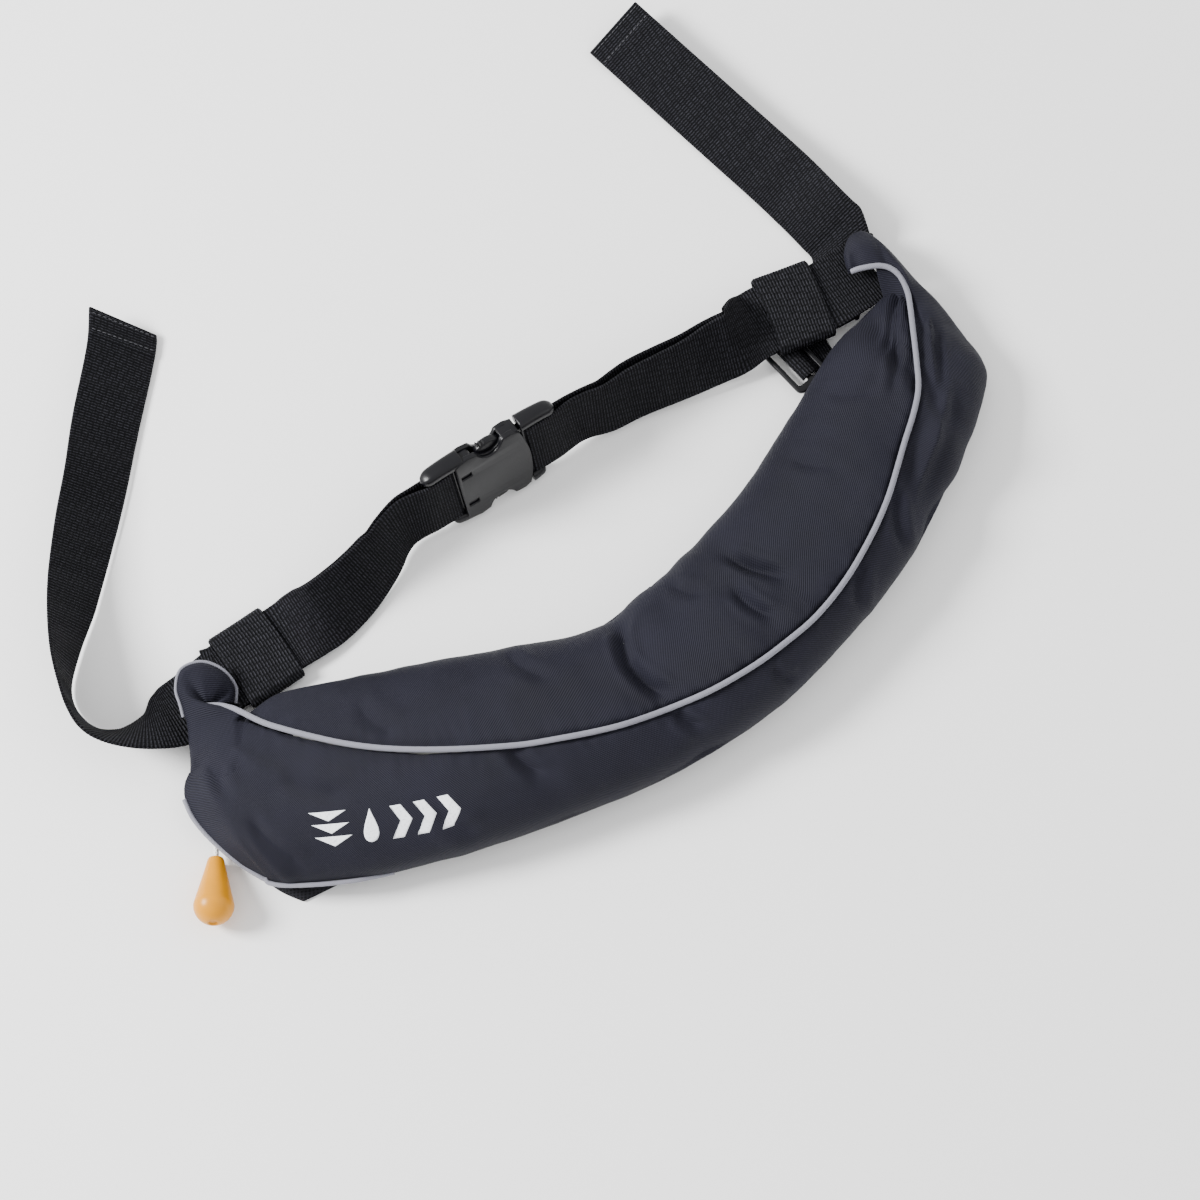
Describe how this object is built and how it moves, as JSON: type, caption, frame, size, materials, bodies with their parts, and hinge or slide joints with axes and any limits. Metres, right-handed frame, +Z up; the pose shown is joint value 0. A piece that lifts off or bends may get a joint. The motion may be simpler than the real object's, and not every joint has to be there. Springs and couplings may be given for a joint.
{
  "type": "inflatable belt pack",
  "caption": "Inflatable belt pack: padded crescent pouch with piping, doubled webbing belt, fastened side-release buckle, keepers, slider and a pull cord with a teardrop toggle.",
  "frame": {"origin": "middle of the underside of the pack's box, leaving out the pull cord and its toggle", "axes": "+X along the crescent pouch from its cord end to its other end, +Y from the pouch to the belt, +Z up from the ground it lies on"},
  "size_m": [0.5258, 0.4014, 0.0527],
  "materials": {
    "cover": "matt twill",
    "mesh": "knitted mesh",
    "webbing": "woven",
    "piping": "satin braid",
    "filling": "coated cloth",
    "plastic": "satin",
    "cord": "braided",
    "toggle": "gloss"
  },
  "bodies": {
    "root": {"cover_upper_panel": "cover", "cover_lower_panel": "cover", "back_panel": "mesh", "left_ear": "cover", "right_ear": "cover", "front_piping": "piping", "edge_piping": "piping", "ear_piping": "piping", "folded_bladder": "filling", "inflator": "plastic", "pull_cord": "cord", "pull_toggle": "toggle", "left_webbing": "webbing", "right_webbing": "webbing", "left_keeper": "webbing", "right_keeper": "webbing", "belt_slider": "plastic", "slider_strap": "webbing", "buckle_socket": "plastic", "buckle_plug": "plastic"}
  },
  "joints": []
}
